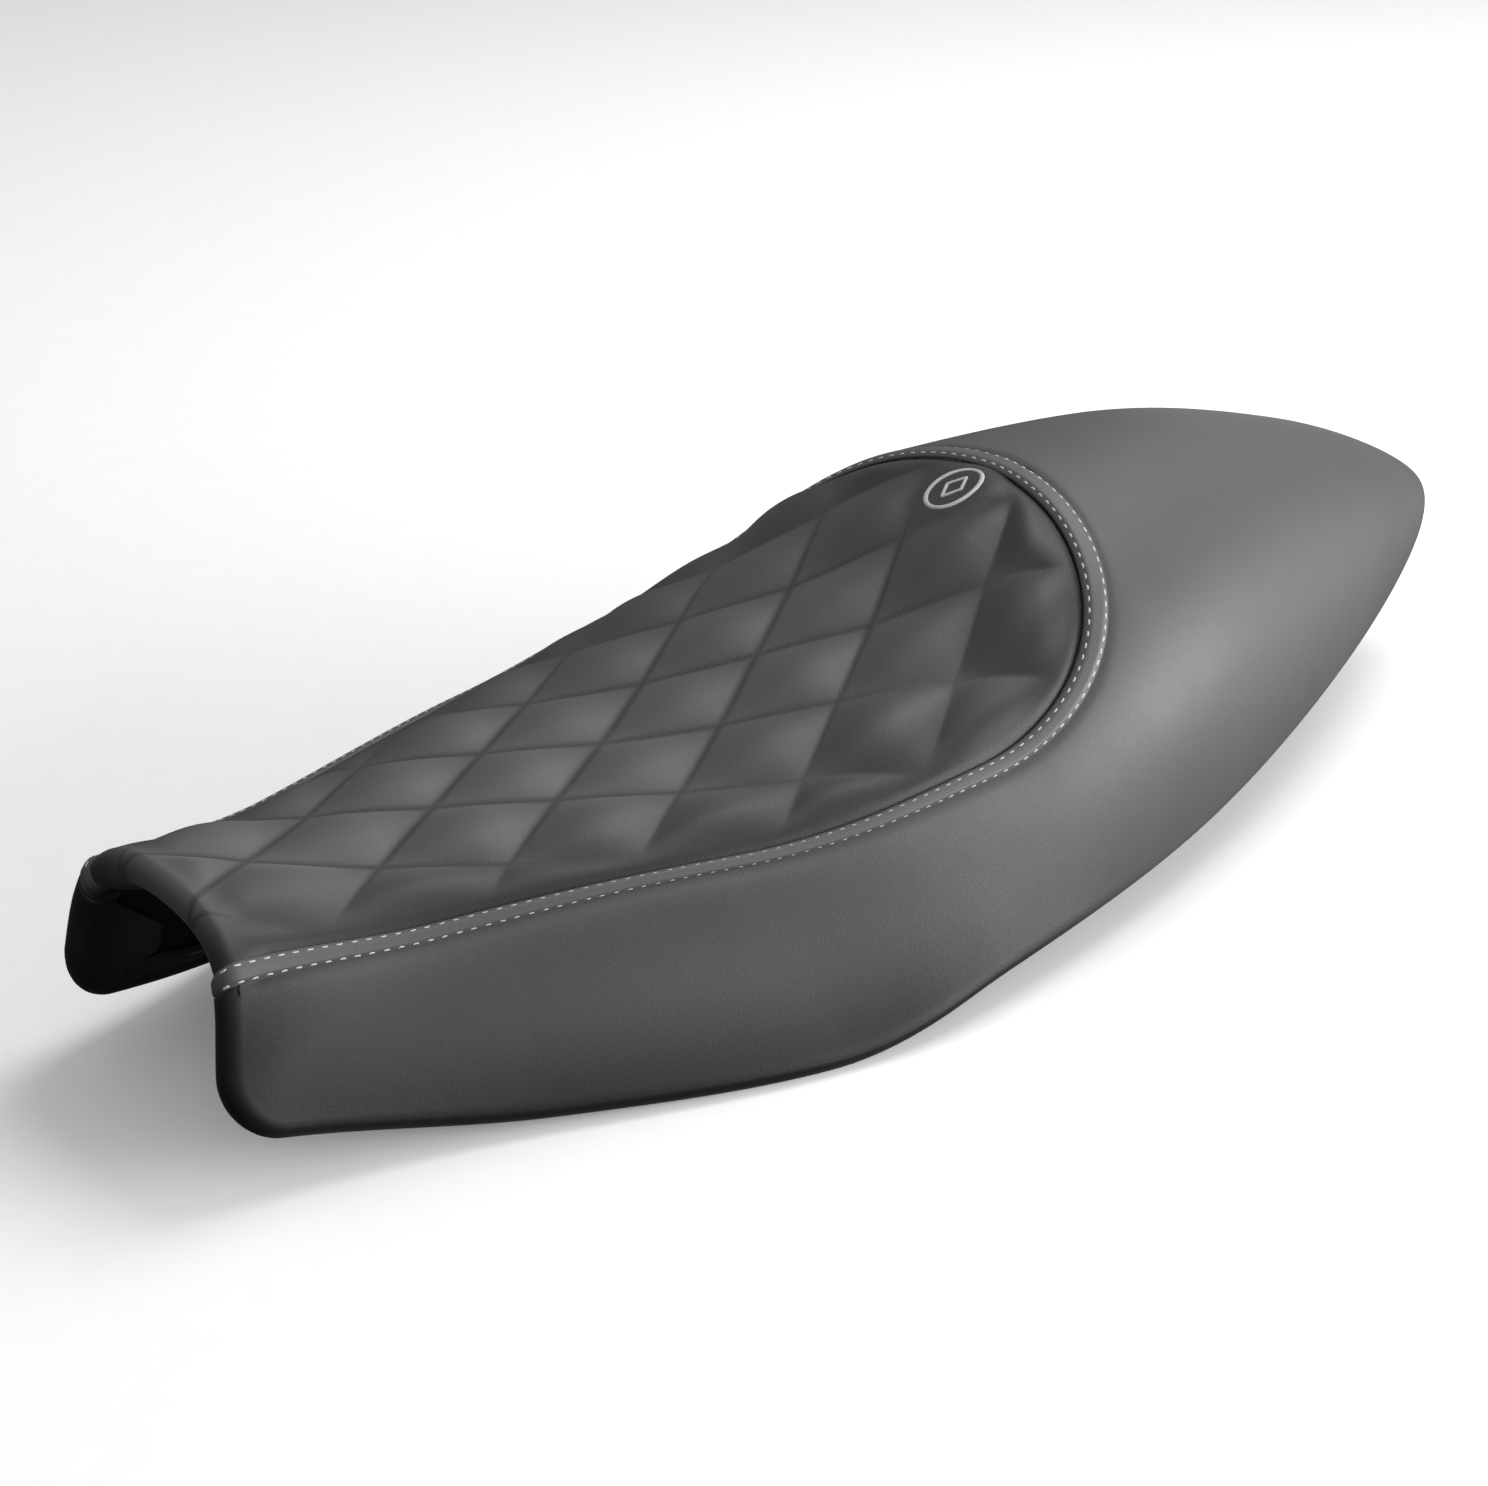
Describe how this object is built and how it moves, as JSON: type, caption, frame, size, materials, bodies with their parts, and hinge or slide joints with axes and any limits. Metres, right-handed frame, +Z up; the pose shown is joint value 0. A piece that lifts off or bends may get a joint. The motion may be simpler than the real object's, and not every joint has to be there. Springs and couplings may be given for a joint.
{
  "type": "motorcycle seat",
  "caption": "Solo motorcycle seat: open-fronted shell on two skirts, quilted cushion panel inside a sewn band, smooth upholstered bullet tail.",
  "frame": {"origin": "centre of the bounding box in plan, on the ground the skirts stand on", "axes": "+Y from the open front edge to the tail tip, +X to the rider's left, +Z up"},
  "size_m": [0.2834, 0.7328, 0.16],
  "materials": {
    "vinyl_dark": "satin quilted vinyl",
    "vinyl_grey": "satin vinyl",
    "vinyl_trim": "satin vinyl",
    "thread": "polyester thread",
    "emblem_thread": "satin stitch",
    "wadding": "soft wadding",
    "foam": "moulded polyurethane foam",
    "shell_plastic": "moulded",
    "strip_plastic": "extruded",
    "staple_wire": "zinc plated",
    "plated_steel": "zinc plated",
    "screw_steel": "zinc plated",
    "insert_brass": "turned",
    "buffer_rubber": "moulded"
  },
  "bodies": {
    "root": {"quilted_panel": "vinyl_dark", "side_cover": "vinyl_grey", "trim_band": "vinyl_trim", "inner_stitching": "thread", "outer_stitching": "thread", "emblem": "emblem_thread", "foam_topper": "wadding", "rider_foam": "foam", "tail_foam": "foam", "base_pan": "shell_plastic", "stiffening_ribs": "shell_plastic", "hem_strip": "strip_plastic", "cover_staples": "staple_wire", "front_tongue": "plated_steel", "tongue_standoffs": "shell_plastic", "tongue_inserts": "insert_brass", "tongue_washers": "plated_steel", "tongue_screws": "screw_steel", "latch_plate": "plated_steel", "latch_striker": "plated_steel", "latch_standoffs": "shell_plastic", "latch_inserts": "insert_brass", "latch_washers": "plated_steel", "latch_screws": "screw_steel", "front_buffers": "buffer_rubber", "rear_buffers": "buffer_rubber"}
  },
  "joints": []
}
